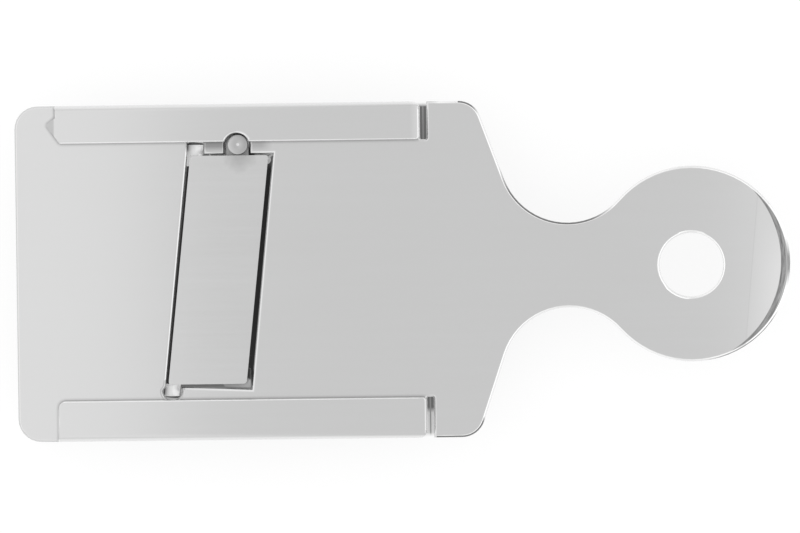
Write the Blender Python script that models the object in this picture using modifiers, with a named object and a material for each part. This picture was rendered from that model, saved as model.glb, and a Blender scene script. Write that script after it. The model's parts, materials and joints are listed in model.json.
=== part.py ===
# Truffle slicer: a folded stainless plate with a ring handle, two guide rails and a slanted
# window, in which a blade on a pivot rod is raised and lowered by a knurled thumb nut.
# Metres, +Z up, food side up, handle towards +X. X is measured from the far end of the
# deck, Y from the middle, and depth from the deck's top face downwards.

import bpy
import bmesh
import math
from mathutils import Matrix, Vector

mm = 0.001

# Clearances
gap = 0.3 * mm            # between pieces that touch on the real slicer
bore_gap = 0.3 * mm       # radial, round a shaft or screw
hem_gap = 0.2 * mm        # between a folded rail and the deck under it

# Sheet, deck and handle
sheet = 2.0 * mm
edge_round = 0.8 * mm
deck_width = 90.4 * mm
corner_radius = 6.2 * mm
shoulder_x = 119.6 * mm
shoulder_radius = 6.3 * mm
waist_width = 22.8 * mm
neck_radius = 18.1 * mm
eye_x = 181.95 * mm
eye_radius = 26.3 * mm
handle_rise = 0.7 * mm        # of the neck and the eye, over the deck's middle
eye_hole_radius = 8.5 * mm
eye_hole_setback = 0.2 * mm   # its centre, from the eye's centre
eye_hole_drop = 0.3 * mm

# Ground tip of the handle
tip_arc_radius = 28.5 * mm
tip_arc_setback = 4.45 * mm   # its centre, behind the eye's centre
tip_arc_rise = 0.8 * mm       # and towards the adjuster's side
tip_bevel_angle = 28.0        # degrees from the face
tip_relief_x = 198.0 * mm
tip_relief_turn = 5.2         # degrees, of the relief line from square
tip_relief_slope = 1.2        # degrees

# Guide rails, folded over the deck
rail_width = {1: 10.2 * mm, -1: 11.0 * mm}
rail_start = 11.0 * mm
rail_end = {1: 109.2 * mm, -1: 110.2 * mm}
rail_corner = 1.8 * mm
rail_edge_round = 0.7 * mm
nose_length = 2.4 * mm
nose_drop = 1.5 * mm
slot_setback = 0.1 * mm
slot_width = 1.8 * mm
slot_corner = 0.4 * mm

# Window in the deck
window_slant = 5.85           # degrees from square
window_left = 43.16 * mm      # at mid width
window_span = 23.2 * mm
window_bottom_margin = 14.6 * mm  # from the plate's side, at its left corner
window_bottom_fall = 1.0 * mm

# Pivot rod
rod_radius = 2.0 * mm
rod_x = 45.0 * mm             # at mid width
rod_slant = 6.2               # degrees from square
rod_top_margin = 10.25 * mm   # rod's ends, from the plate's sides
rod_bottom_margin = 11.45 * mm
rod_chamfer = 0.25 * mm
notch_side_gap = 0.2 * mm
notch_end_gap = 0.4 * mm
notch_lower_radius = 2.55 * mm
notch_lower_x = 41.7 * mm
notch_lower_margin = 13.4 * mm

# Blade
blade_thickness = 1.5 * mm
blade_width = 21.1 * mm       # along X
blade_overhang = 1.05 * mm    # past the rod's axis, on the side away from the edge
blade_top_gap = 0.35 * mm
blade_bottom_gap = 0.45 * mm
blade_corner = 0.8 * mm
edge_land = 0.15 * mm
edge_bevel = 3.2 * mm

# Blade carrier
carrier_thickness = 1.5 * mm
carrier_span = 12.2 * mm      # from the rod's axis to its right edge, along X
carrier_bottom_gap = 1.5 * mm
carrier_shoulder = 4.0 * mm   # length of the wide part beside the ear
carrier_lug = 3.0 * mm
carrier_lug_left = 54.8 * mm
carrier_lug_slash = 1.0 * mm
carrier_side_gap = 0.6 * mm

# Blade screws, from below
screw_radius = 1.25 * mm
screw_head_radius = 2.3 * mm
screw_head_height = 1.0 * mm
screw_depth = 1.0 * mm        # into the blade
screw_inset = 8.0 * mm         # outer screws, from the blade's ends
screw_slot = 0.6 * mm

# Adjusting stud and its cut-out in the plate
cutout_x = 60.0 * mm
cutout_margin = 11.3 * mm     # its centre, from the plate's side
cutout_radius = 3.5 * mm
stud_shift_x = 0.2 * mm       # stud's axis, from the cut-out's centre
stud_shift_y = 0.35 * mm
stud_radius = 1.5 * mm
stud_flat = 0.4 * mm          # depth of the flat that stops it turning
stud_head_radius = 2.7 * mm
stud_head_gap = 0.2 * mm      # head to blade
stud_head_chamfer = 0.25 * mm
stud_washer_thickness = 0.4 * mm
stud_engagement = 6.2 * mm    # thread length inside the knob
ear_gap = 0.5 * mm            # ear to cut-out
ear_play = 0.55 * mm          # stud to ear hole, for the tilt

# Spring, bracket, washer and knob, from the carrier down
spring_length = 4.6 * mm
spring_wire_radius = 0.25 * mm
spring_radius = 2.45 * mm
spring_turns = 4
bracket_thickness = 1.5 * mm
bracket_width = 11.0 * mm
bracket_bend = 1.0 * mm
bracket_foot = 5.6 * mm
bracket_reach = 4.5 * mm      # past the stud's axis
knob_washer_thickness = 0.6 * mm
knob_washer_radius = 4.0 * mm
knob_radius = 9.0 * mm
knob_height = 8.4 * mm
knob_hub_radius = 4.8 * mm
knob_hub_height = 1.0 * mm
knob_flutes = 22
knob_flute_depth = 0.55 * mm
knob_round = 0.6 * mm
knob_floor = 1.5 * mm

# Rod saddles
saddle_thickness = 1.0 * mm
saddle_width = 2.4 * mm
saddle_flange = 2.2 * mm
saddle_play = 0.2 * mm
saddle_inset = 1.5 * mm       # rod's end past a saddle's middle

# Worked out from the sizes above
length = eye_x + eye_radius
half_width = deck_width / 2
fold_radius = sheet + hem_gap / 2
fold_y = half_width - fold_radius
rail_inner = {side: half_width - rail_width[side] for side in rail_width}
rail_top = hem_gap + sheet
window_bottom = half_width - window_bottom_margin
blade_bottom = window_bottom - blade_bottom_gap
carrier_bottom = window_bottom - carrier_bottom_gap
rod_top_y = half_width - rod_top_margin
rod_bottom_y = half_width - rod_bottom_margin
notch_lower_y = half_width - notch_lower_margin
saddle_top_y = rod_top_y - saddle_inset
saddle_bottom_y = rod_bottom_y - saddle_inset
cutout_y = half_width - cutout_margin
stud_x = cutout_x + stud_shift_x
stud_y = cutout_y + stud_shift_y
blade_top = stud_y - stud_head_radius - stud_head_gap
window_top = blade_top + blade_top_gap
carrier_top = blade_thickness + gap
carrier_under = carrier_top + carrier_thickness
rod_depth = carrier_top + rod_radius
stud_head_height = carrier_top - stud_washer_thickness - 2 * gap
spring_top = carrier_under + gap
bracket_top = spring_top + spring_length + gap
bracket_under = bracket_top + bracket_thickness
knob_washer_top = bracket_under + gap
knob_top = knob_washer_top + knob_washer_thickness + gap
deck_height = knob_top + knob_height
stud_end = knob_top + stud_engagement
rod_lean = math.tan(math.radians(rod_slant))
window_lean = math.tan(math.radians(window_slant))


def place(x, y, depth=0.0):
    # World position of a point given by its X from the far end, its Y and its depth
    return Vector((x - length / 2, y, deck_height - depth))


def rod_at(y):
    # X of the rod's axis at a given Y
    return rod_x + y * rod_lean


def window_left_at(y):
    return window_left + y * window_lean


def window_right_at(y):
    return window_left_at(y) + window_span


def window_bottom_at(x):
    # The window's lower edge falls away towards the handle
    left = window_left_at(-window_bottom)
    return -window_bottom - window_bottom_fall * (x - left) / window_span


def arc(x, y, radius, start, end, steps):
    # Points on an arc, angles in degrees
    points = []
    for i in range(steps + 1):
        angle = math.radians(start + (end - start) * i / steps)
        points.append((x + radius * math.cos(angle), y + radius * math.sin(angle)))
    return points


# Scene, collections and materials

for old in list(bpy.data.objects):
    bpy.data.objects.remove(old, do_unlink=True)

parts = bpy.data.collections.new("truffle_slicer")
tools = bpy.data.collections.new("cutters")
bpy.context.scene.collection.children.link(parts)
bpy.context.scene.collection.children.link(tools)


def material(name, colour, roughness, metallic):
    made = bpy.data.materials.new(name)
    made.use_nodes = True
    shader = made.node_tree.nodes["Principled BSDF"]
    shader.inputs["Base Color"].default_value = (*colour, 1.0)
    shader.inputs["Roughness"].default_value = roughness
    shader.inputs["Metallic"].default_value = metallic
    return made


plate_steel = material("satin_steel", (0.62, 0.62, 0.63), 0.32, 1.0)
blade_steel = material("ground_blade_steel", (0.58, 0.58, 0.60), 0.25, 1.0)
turned_steel = material("turned_steel", (0.60, 0.60, 0.62), 0.22, 1.0)
spring_steel = material("spring_steel", (0.42, 0.42, 0.45), 0.35, 1.0)
washer_brass = material("washer_brass", (0.72, 0.55, 0.28), 0.35, 1.0)


# Building helpers

def add(name, mesh, finish, is_tool=False):
    obj = bpy.data.objects.new(name, mesh)
    (tools if is_tool else parts).objects.link(obj)
    if is_tool:
        obj.hide_render = True
        obj.display_type = "WIRE"
    else:
        mesh.materials.append(finish)
    return obj


def flat_curve(name, outlines, low, high, rounding=0.0):
    # A filled 2D outline between two heights, its holes given as further outlines
    curve = bpy.data.curves.new(name, "CURVE")
    curve.dimensions = "2D"
    curve.fill_mode = "BOTH"
    curve.extrude = (high - low) / 2 - rounding
    curve.bevel_depth = rounding
    curve.bevel_resolution = 1
    curve.offset = -rounding
    for outline in outlines:
        spline = curve.splines.new("POLY")
        spline.points.add(len(outline) - 1)
        for point, (x, y) in zip(spline.points, outline):
            point.co = (x, y, 0.0, 1.0)
        spline.use_cyclic_u = True
    holder = bpy.data.objects.new(name, curve)
    tools.objects.link(holder)
    holder.location.z = (high + low) / 2
    return holder


def mesh_from(holder, weld=0.000002):
    # The curve's evaluated mesh in world space, its caps welded on
    bpy.context.view_layer.update()
    evaluated = holder.evaluated_get(bpy.context.evaluated_depsgraph_get())
    mesh = bpy.data.meshes.new_from_object(evaluated)
    mesh.transform(holder.matrix_world)
    bpy.data.objects.remove(holder, do_unlink=True)
    work = bmesh.new()
    work.from_mesh(mesh)
    bmesh.ops.remove_doubles(work, verts=work.verts, dist=weld)
    bmesh.ops.dissolve_degenerate(work, edges=work.edges, dist=weld)
    bmesh.ops.recalc_face_normals(work, faces=work.faces)
    work.to_mesh(mesh)
    work.free()
    mesh.materials.clear()
    return mesh


def plan_mesh(name, outlines, top_depth, bottom_depth, rounding=0.0):
    # A flat piece cut to plan outlines in X and Y, between two depths
    shifted = [[(x - length / 2, y) for x, y in outline] for outline in outlines]
    return mesh_from(flat_curve(name, shifted, deck_height - bottom_depth,
                                deck_height - top_depth, rounding))


def side_mesh(name, outline, x_from, x_to):
    # A profile in Y and height over the deck, drawn out along X
    holder = flat_curve(name, [outline], x_from - length / 2, x_to - length / 2)
    turn = Matrix(((0, 0, 1, 0), (1, 0, 0, 0), (0, 1, 0, deck_height), (0, 0, 0, 1)))
    holder.matrix_world = turn @ Matrix.Translation((0, 0, (x_from + x_to - length) / 2))
    return mesh_from(holder)


def lathe(name, profile, centre, finish, steps=32, is_tool=False, closed=False):
    # A turned piece: the profile holds radius and depth, and runs down its outer side
    mesh = bpy.data.meshes.new(name)
    count = len(profile)
    edges = [(i, i + 1) for i in range(count - 1)]
    if closed:
        edges.append((count - 1, 0))
    mesh.from_pydata([(r, 0.0, -depth) for r, depth in profile], edges, [])
    obj = add(name, mesh, finish, is_tool)
    obj.location = centre
    screw = obj.modifiers.new("turn", "SCREW")
    screw.steps = steps
    screw.render_steps = steps
    screw.use_merge_vertices = True
    screw.merge_threshold = 0.00001
    return obj


def cut(obj, cutter, operation="DIFFERENCE"):
    boolean = obj.modifiers.new(operation.lower(), "BOOLEAN")
    boolean.operation = operation
    boolean.object = cutter
    boolean.solver = "EXACT"
    return boolean


def tool_box(name, size, centre, turn=None):
    mesh = bpy.data.meshes.new(name)
    work = bmesh.new()
    bmesh.ops.create_cube(work, size=1.0)
    bmesh.ops.scale(work, vec=size, verts=work.verts)
    work.to_mesh(mesh)
    work.free()
    obj = add(name, mesh, None, is_tool=True)
    obj.matrix_world = Matrix.Translation(centre) @ (turn or Matrix())
    return obj


def tool_rod(name, radius, top, bottom, steps=32):
    # An upright round cutter between two points
    profile = [(0, 0), (radius, 0), (radius, top.z - bottom.z), (0, top.z - bottom.z)]
    return lathe(name, profile, top, None, steps, is_tool=True)


def finish_smooth(obj, angle=35.0):
    obj.data.shade_smooth()
    obj.data.set_sharp_from_angle(angle=math.radians(angle))


# Body plate

def neck_centre(rise):
    # The neck arc touches the eye's circle from outside and leaves the waist's width
    centre_y = waist_width / 2 + neck_radius
    reach = math.sqrt((eye_radius + neck_radius) ** 2 - centre_y ** 2)
    return eye_x - reach, centre_y + rise


def tangent_normal(rise):
    # Direction of the normal of the flank, the line that touches the shoulder arc and
    # the neck arc from opposite sides
    centre_x, centre_y = neck_centre(rise)
    across = centre_x - shoulder_x
    down = half_width - shoulder_radius - centre_y
    between = math.hypot(across, down)
    swing = math.asin((shoulder_radius + neck_radius) / between)
    return 90 - math.degrees(math.atan2(down, across) + swing)


def half_outline(side):
    # One half of the sheet's outline in plan, from the far end to the handle's tip
    rise = side * handle_rise
    neck_x, neck_y = neck_centre(rise)
    normal = tangent_normal(rise)
    eye_angle = math.degrees(math.atan2(neck_y - rise, eye_x - neck_x))
    fold_edge = fold_y + edge_round
    slot_left = rail_end[side] + slot_setback
    slot_right = slot_left + slot_width
    slot_y = rail_inner[side] + slot_corner
    points = arc(corner_radius, half_width - corner_radius, corner_radius, 180, 90, 7)
    points += [(rail_start + edge_round / 2, half_width), (rail_start + edge_round / 2, fold_edge)]
    points += [(slot_left, fold_edge)]
    points += arc(slot_left + slot_corner, slot_y, slot_corner, 180, 270, 2)
    points += arc(slot_right - slot_corner, slot_y, slot_corner, 270, 360, 2)
    points += [(slot_right, half_width)]
    points += arc(shoulder_x, half_width - shoulder_radius, shoulder_radius, 90, normal, 8)
    points += arc(neck_x, neck_y, neck_radius, 180 + normal, 360 - eye_angle, 20)
    points += arc(eye_x, rise, eye_radius, 180 - eye_angle, 0, 26)[1:]
    return [(x, side * y) for x, y in points]


def window_outline():
    # The slanted window with the two rod notches and the stud's cut-out
    rod_half = rod_radius + notch_side_gap
    notch_left = rod_at(rod_top_y) - rod_half
    notch_right = rod_at(rod_top_y) + rod_half
    notch_end = rod_top_y + notch_end_gap
    points = [(window_left_at(window_top), window_top)]
    points += [(notch_left, window_top), (notch_left, notch_end)]
    points += [(notch_right, notch_end), (notch_right, window_top)]
    points += [(cutout_x - cutout_radius, window_top)]
    points += arc(cutout_x, cutout_y, cutout_radius, 180, 0, 14)
    points += [(cutout_x + cutout_radius, window_top)]
    points += [(window_right_at(window_top), window_top)]
    low_right = window_right_at(-window_bottom - window_bottom_fall)
    points += [(low_right, window_bottom_at(low_right))]
    lower_right = notch_lower_x + notch_lower_radius
    points += [(lower_right, window_bottom_at(lower_right))]
    points += arc(notch_lower_x, -notch_lower_y, notch_lower_radius, 0, -180, 12)
    points += [(window_left_at(-window_bottom), -window_bottom)]
    if abs(points[0][0] - points[1][0]) < edge_round:
        points.pop(0)
    return points


def rail_profile(side):
    # The folded side seen from the end: flap, fold and the lap into the deck
    lap = 0.02 * mm
    flap_end = rail_inner[side] - edge_round
    points = [(flap_end, hem_gap), (flap_end, rail_top + lap)]
    points += arc(fold_y, hem_gap / 2, fold_radius + lap, 90, -90, 16)
    points += [(fold_y - sheet / 2, -sheet / 2)]
    points += arc(fold_y, hem_gap / 2, hem_gap / 2 + lap, -90, 90, 4)
    return [(side * y, z) for y, z in points]


def rail_plan(side):
    # The flap's outline in plan; it runs past the fold, which stays whole
    outside = half_width + sheet
    end = rail_end[side]
    inner = rail_inner[side]
    corner = rail_corner
    points = [(rail_start, outside)]
    if side > 0:
        points += [(rail_start, half_width - 1.3 * nose_length)]
        points += [(rail_start - nose_length, half_width - rail_width[side] / 2)]
        points += [(rail_start + nose_length / 8, inner + nose_length / 2)]
        points += [(rail_start + nose_length / 2, inner)]
        dip = math.degrees(math.asin((inner - cutout_y) / cutout_radius))
        points += arc(cutout_x, cutout_y, cutout_radius, 180 - dip, dip, 14)
    else:
        points += arc(rail_start + corner, inner + corner, corner, 180, 270, 5)
    points += arc(end - corner / 2, inner + corner / 2, corner / 2, 270, 360, 4)
    points += arc(end - corner, half_width - corner, corner, 0, 90, 5)
    points += [(end - corner, outside)]
    return [(x, side * y) for x, y in points]


def rail(side):
    # A folded rail: its end profile cut to its plan, with the flap's rounded top edges
    name = "rail_upper" if side > 0 else "rail_lower"
    start = rail_start - 2 * nose_length
    folded = add(name, side_mesh(name, rail_profile(side), start, rail_end[side] + sheet),
                 None, is_tool=True)
    below = 2 * sheet
    plan = add(name + "_plan", plan_mesh(name + "_plan", [rail_plan(side)], -rail_top, below,
                                         rail_edge_round), None, is_tool=True)
    cut(folded, plan, "INTERSECT")
    if side > 0:
        slope = math.atan2(nose_drop, nose_length)
        ramp = Matrix.Rotation(-slope, 4, "Y") @ Matrix.Translation((-sheet, 0, sheet))
        cut(folded, tool_box("nose_ramp", Vector((2 * sheet, rail_width[side], 2 * sheet)),
                             place(rail_start, half_width - rail_width[side] / 2, -rail_top), ramp))
    return folded


def body_plate():
    upper = half_outline(1)
    lower = half_outline(-1)
    outline = upper + lower[-2::-1]
    eye_hole = arc(eye_x - eye_hole_setback, handle_rise - eye_hole_drop, eye_hole_radius,
                   0, 351, 39)
    mesh = plan_mesh("body_plate", [outline, window_outline(), eye_hole], 0, sheet, edge_round)
    plate = add("body_plate", mesh, plate_steel)
    for side in (1, -1):
        cut(plate, rail(side), "UNION")
    # Bevel ground round the tip: the inside of a wide cone, set back from the eye
    run = eye_radius
    drop = run * math.tan(math.radians(tip_bevel_angle))
    cone = [(tip_arc_radius, 0), (tip_arc_radius, -sheet), (tip_arc_radius + run, -sheet),
            (tip_arc_radius + run, drop)]
    cone_at = place(eye_x - tip_arc_setback, handle_rise + tip_arc_rise)
    cone_tool = lathe("tip_bevel", cone, cone_at, None, 72, is_tool=True, closed=True)
    keep = tool_box("tip_bevel_zone", Vector((eye_radius, deck_width, 4 * sheet)),
                    place(eye_x + 0.8 * eye_radius, handle_rise))
    cut(cone_tool, keep, "INTERSECT")
    cut(plate, cone_tool)
    turn = (Matrix.Rotation(math.radians(-tip_relief_turn), 4, "Z")
            @ Matrix.Rotation(math.radians(tip_relief_slope), 4, "Y")
            @ Matrix.Translation((eye_radius / 2, 0, sheet)))
    cut(plate, tool_box("tip_relief", Vector((eye_radius, 2 * eye_radius, 2 * sheet)),
                        place(tip_relief_x, 0), turn))
    finish_smooth(plate)
    return plate


# Blade unit

def blade_piece():
    left = -blade_overhang
    right = blade_width - blade_overhang
    corners = [(left, blade_top), (right, blade_top), (right, -blade_bottom), (left, -blade_bottom)]
    starts = (180, 90, 0, -90)
    points = []
    for (s, y), start in zip(corners, starts):
        inward_x = blade_corner if s == left else -blade_corner
        inward_y = -blade_corner if y > 0 else blade_corner
        for x, yy in arc(s + inward_x, y + inward_y, blade_corner, start, start - 90, 4):
            points.append((x + rod_at(yy), yy))
    blade = add("blade", plan_mesh("blade", [points], 0, blade_thickness), blade_steel)
    # Bevel ground under the cutting edge
    rise = math.atan2(blade_thickness - edge_land, edge_bevel)
    turn = (Matrix.Rotation(math.radians(-rod_slant), 4, "Z") @ Matrix.Rotation(-rise, 4, "Y")
            @ Matrix.Translation((0, 0, -sheet)))
    edge = place(rod_at(0) + right, 0, edge_land)
    cut(blade, tool_box("edge_bevel", Vector((4 * edge_bevel, 2 * deck_width, 2 * sheet)),
                        edge, turn))
    for i in (-1, 0, 1):
        x, y = screw_spot(i)
        cut(blade, tool_rod("screw_hole_%d" % (i + 2), screw_radius + bore_gap,
                            place(x, y, blade_thickness - screw_depth - gap),
                            place(x, y, blade_thickness + sheet), 24))
    return blade


def screw_spot(i):
    # Place of the lower, middle or upper blade screw (-1, 0, 1), midway across the carrier
    centre_y = (blade_top - blade_bottom) / 2
    y = centre_y + i * ((blade_top + blade_bottom) / 2 - screw_inset)
    return rod_at(y) + (rod_radius + carrier_span) / 2, y


def carrier_piece():
    left = rod_radius + gap
    top = window_top - 2 * gap
    ear = cutout_radius - ear_gap
    wide = cutout_x + ear
    low = carrier_bottom
    lug_right = window_right_at(-low) - carrier_side_gap

    def under(x):
        # Lower edge of the lug, just inside the window
        return window_bottom_at(x) + gap

    points = [(rod_at(top) + left, top), (cutout_x - ear, top)]
    points += arc(cutout_x, cutout_y, ear, 180, 0, 14)
    shoulder_y = top - carrier_shoulder
    points += [(wide, shoulder_y)]
    turn_y = shoulder_y - (wide - rod_at(shoulder_y) - carrier_span)
    points += [(rod_at(turn_y) + carrier_span, turn_y)]
    lug_top = -low + carrier_lug
    points += [(rod_at(lug_top) + carrier_span, lug_top)]
    points += [(lug_right, lug_top), (lug_right, under(lug_right))]
    slash_x = carrier_lug_left + carrier_lug_slash
    points += [(slash_x, under(slash_x)), (carrier_lug_left, -low)]
    points += [(rod_at(-low) + left, -low)]
    hole = arc(stud_x, stud_y, stud_radius + ear_play, 0, 345, 23)
    mesh = plan_mesh("blade_carrier", [points, hole], carrier_top, carrier_under)
    carrier = add("blade_carrier", mesh, plate_steel)
    for i in (-1, 0, 1):
        x, y = screw_spot(i)
        wall = screw_radius + bore_gap
        mouth = screw_head_radius + bore_gap
        cone_top = carrier_thickness - screw_head_height - gap / 2
        profile = [(0, -gap), (wall, -gap), (wall, cone_top), (mouth, carrier_thickness),
                   (mouth, carrier_thickness + gap), (0, carrier_thickness + gap)]
        cut(carrier, lathe("screw_seat_%d" % (i + 2), profile, place(x, y, carrier_top), None,
                           24, is_tool=True))
    return carrier


def rod_piece():
    slant = math.cos(math.radians(rod_slant))
    span = (rod_top_y + rod_bottom_y) / slant
    c = rod_chamfer
    profile = [(0, 0), (rod_radius - c, 0), (rod_radius, c), (rod_radius, span - c),
               (rod_radius - c, span), (0, span)]
    rod = lathe("pivot_rod", profile, Vector((0, 0, 0)), turned_steel, 32)
    end = place(rod_at(rod_top_y), rod_top_y, rod_depth)
    turn = Matrix.Rotation(math.radians(-rod_slant), 4, "Z") @ Matrix.Rotation(-math.pi / 2, 4, "X")
    rod.matrix_world = Matrix.Translation(end) @ turn
    return rod


def blade_screw(name, i):
    x, y = screw_spot(i)
    reach = carrier_thickness + gap + screw_depth
    top = carrier_under - reach
    cone = reach - screw_head_height
    lip = 0.15 * mm
    profile = [(0, 0), (screw_radius, 0), (screw_radius, cone),
               (screw_head_radius, reach - lip), (screw_head_radius, reach), (0, reach)]
    screw = lathe(name, profile, place(x, y, top), turned_steel, 24)
    slot = Vector((4 * screw_head_radius, screw_slot, screw_slot))
    cut(screw, tool_box(name + "_slot", slot, place(x, y, carrier_under)))
    return screw


# Adjuster

def stud_piece():
    c = stud_head_chamfer
    profile = [(0, 0), (stud_head_radius - c, 0), (stud_head_radius, c),
               (stud_head_radius, stud_head_height), (stud_radius, stud_head_height),
               (stud_radius, stud_end - c), (stud_radius - c, stud_end), (0, stud_end)]
    stud = lathe("adjusting_stud", profile, place(stud_x, stud_y), turned_steel, 32)
    tall = stud_end - carrier_under
    cut(stud, tool_box("stud_flat", Vector((2 * stud_radius, 4 * stud_radius, 2 * tall)),
                       place(stud_x + 2 * stud_radius - stud_flat, stud_y,
                             carrier_under + gap + tall)))
    return stud


def washer(name, inner, outer, top, thickness, finish):
    profile = [(inner, 0), (outer, 0), (outer, thickness), (inner, thickness)]
    return lathe(name, profile, place(stud_x, stud_y, top), finish, 32, closed=True)


def spring_piece():
    curve = bpy.data.curves.new("adjuster_spring", "CURVE")
    curve.dimensions = "3D"
    curve.bevel_depth = spring_wire_radius
    curve.bevel_resolution = 1
    curve.use_fill_caps = True
    per_turn = 12
    count = spring_turns * per_turn
    climb = spring_length - 2 * spring_wire_radius
    spline = curve.splines.new("POLY")
    spline.points.add(count)
    for i, point in enumerate(spline.points):
        angle = 2 * math.pi * i / per_turn
        height = -climb / 2 + climb * i / count
        point.co = (spring_radius * math.cos(angle), spring_radius * math.sin(angle), height, 1.0)
    spring = bpy.data.objects.new("adjuster_spring", curve)
    parts.objects.link(spring)
    curve.materials.append(spring_steel)
    spring.location = place(stud_x, stud_y, spring_top + spring_length / 2)
    print("spring: gap between turns %.2f mm"
          % ((climb / spring_turns - 2 * spring_wire_radius) / mm))
    return spring


def bracket_piece():
    # A Z-shaped bracket: foot under the plate, leg beside the spring, web across the stud
    t = bracket_thickness
    foot_top = -(sheet + gap)
    leg_in = cutout_y + cutout_radius + gap
    bend = bracket_bend
    foot_end = leg_in + t + bracket_foot
    web_end = stud_y - bracket_reach
    web_top = -bracket_top
    web_low = -bracket_under
    points = [(foot_end, foot_top), (foot_end, foot_top - t)]
    points += arc(leg_in + t + bend, foot_top - t - bend, bend, 90, 180, 4)
    points += arc(leg_in - bend, web_top - t + bend + t, bend + t, 0, -90, 5)
    points += [(web_end, web_low), (web_end, web_top)]
    points += arc(leg_in - bend, web_top + bend, bend, -90, 0, 4)
    points += arc(leg_in + t + bend, foot_top - bend - t, bend + t, 180, 90, 5)
    mesh = side_mesh("adjuster_bracket", points, stud_x - bracket_width / 2,
                     stud_x + bracket_width / 2)
    bracket = add("adjuster_bracket", mesh, plate_steel)
    wall = stud_radius + bore_gap
    hole = tool_rod("bracket_hole", wall, place(stud_x, stud_y, bracket_top - gap),
                    place(stud_x, stud_y, bracket_under + gap))
    cut(hole, tool_box("bracket_hole_flat", Vector((2 * wall, 4 * wall, 8 * bracket_thickness)),
                       place(stud_x + 2 * wall - stud_flat, stud_y, bracket_top)))
    cut(bracket, hole)
    return bracket


def knob_piece():
    # Fluted body, a low hub under the bracket and a blind bore for the stud
    points = []
    per_flute = 6
    for i in range(knob_flutes * per_flute):
        angle = 2 * math.pi * i / (knob_flutes * per_flute)
        wave = (1 - math.cos(knob_flutes * angle)) / 2
        radius = knob_radius - knob_flute_depth * wave ** 2
        points.append((stud_x + radius * math.cos(angle), stud_y + radius * math.sin(angle)))
    body_top = knob_top + knob_hub_height
    mesh = plan_mesh("adjusting_knob", [points], body_top, deck_height, knob_round)
    knob = add("adjusting_knob", mesh, turned_steel)
    hub = tool_rod("knob_hub", knob_hub_radius, place(stud_x, stud_y, knob_top),
                   place(stud_x, stud_y, body_top + knob_round), 40)
    cut(knob, hub, "UNION")
    cut(knob, tool_rod("knob_bore", stud_radius + bore_gap, place(stud_x, stud_y, knob_top - gap),
                       place(stud_x, stud_y, deck_height - knob_floor)))
    return knob


# Saddles that hold the rod's ends against the plate's underside

def saddle(name, y):
    inner = rod_radius + saddle_play
    outer = inner + saddle_thickness
    top = sheet + gap
    side = outer + saddle_flange
    slab = saddle_thickness
    centre = rod_depth
    points = [(-side, top), (-inner, top)]
    points += [(x, centre - z) for x, z in arc(0, 0, inner, 180, 360, 12)]
    points += [(inner, top), (side, top), (side, top + slab), (outer, top + slab)]
    points += [(x, centre - z) for x, z in arc(0, 0, outer, 0, -180, 12)]
    points += [(-outer, top + slab), (-side, top + slab)]
    outline = [(x, -depth) for x, depth in points]
    holder = flat_curve(name, [outline], -saddle_width / 2, saddle_width / 2)
    holder.matrix_world = (Matrix.Translation(place(rod_at(y), y))
                           @ Matrix.Rotation(math.radians(-rod_slant), 4, "Z")
                           @ Matrix.Rotation(math.pi / 2, 4, "X"))
    return add(name, mesh_from(holder), plate_steel)


# Assembly

def empty(name, at):
    axis = bpy.data.objects.new(name, None)
    parts.objects.link(axis)
    axis.location = at
    return axis


def hang(axis, *pieces):
    bpy.context.view_layer.update()
    for piece in pieces:
        world = piece.matrix_world.copy()
        piece.parent = axis
        piece.matrix_parent_inverse = axis.matrix_world.inverted()
        piece.matrix_world = world


body_plate()
saddle("rod_saddle_upper", saddle_top_y)
saddle("rod_saddle_lower", -saddle_bottom_y)
bracket_piece()
washer("knob_washer", stud_radius + bore_gap, knob_washer_radius, knob_washer_top,
       knob_washer_thickness, washer_brass)
spring_piece()

blade_axis = empty("blade_axis", place(rod_x, 0, rod_depth))
hang(blade_axis, blade_piece(), carrier_piece(), rod_piece(),
     blade_screw("blade_screw_lower", -1), blade_screw("blade_screw_middle", 0),
     blade_screw("blade_screw_upper", 1))

stud_axis = empty("stud_axis", place(stud_x, stud_y))
hang(stud_axis, stud_piece(),
     washer("stud_washer", stud_radius + bore_gap, stud_head_radius,
            stud_head_height + gap, stud_washer_thickness, turned_steel))

knob_axis = empty("knob_axis", place(stud_x, stud_y, knob_top))
hang(knob_axis, knob_piece())

print("deck height %.2f mm, length %.2f mm" % (deck_height / mm, length / mm))
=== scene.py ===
import bpy
import json
import math
from mathutils import Matrix, Vector


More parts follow.
